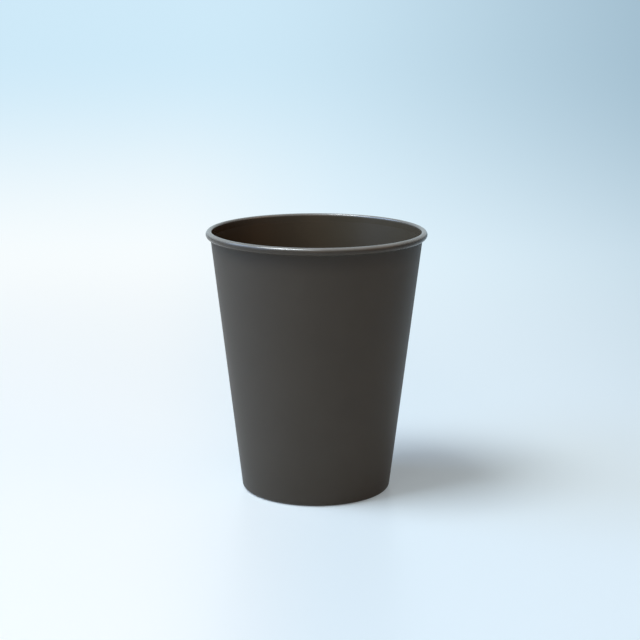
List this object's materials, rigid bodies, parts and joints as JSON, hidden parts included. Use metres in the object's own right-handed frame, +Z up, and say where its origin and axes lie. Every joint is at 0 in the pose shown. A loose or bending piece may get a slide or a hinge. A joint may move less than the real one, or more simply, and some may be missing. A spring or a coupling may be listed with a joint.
{
  "type": "plastic coffee cup",
  "caption": "Plain dark plastic coffee cup: a straight tapered wall with a rolled rim, a rounded heel and a raised base on a foot ring, made in one piece.",
  "frame": {"origin": "middle of the foot ring, on the surface that the cup stands on", "axes": "+Z up along the cup's axis, from the foot to the rim; the cup is round, so X and Y are alike"},
  "size_m": [0.09, 0.09, 0.1079],
  "materials": {
    "cup_plastic": "dark warm grey polypropylene, satin wall, smoother and glossier rolled rim"
  },
  "bodies": {
    "root": {"cup": "cup_plastic"}
  },
  "joints": []
}
